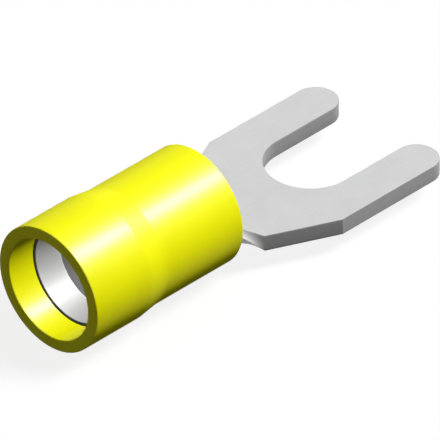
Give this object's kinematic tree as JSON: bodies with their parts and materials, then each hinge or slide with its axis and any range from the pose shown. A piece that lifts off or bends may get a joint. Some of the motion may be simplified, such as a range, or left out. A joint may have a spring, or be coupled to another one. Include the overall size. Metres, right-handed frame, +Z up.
{
  "type": "fork terminal",
  "caption": "Insulated fork terminal: a yellow nylon sleeve over a rolled metal wire barrel, with a flat open-ended fork that slides under a stud or screw.",
  "frame": {"origin": "centre of the part's bounding box in plan, at the height of the lowest line of the sleeve's wide mouth", "axes": "+X from the wire mouth to the fork tips along the barrel's axis, +Y across the fork, +Z up, away from the tongue's underside"},
  "size_m": [0.026, 0.0104, 0.0076],
  "materials": {
    "yellow_nylon": "semi-gloss moulded nylon",
    "plated_lining": "bright tin plating",
    "tinned_copper": "satin tin plating"
  },
  "bodies": {
    "root": {"insulating_sleeve": "yellow_nylon", "support_sleeve": "plated_lining", "terminal_body": "tinned_copper"}
  },
  "joints": []
}
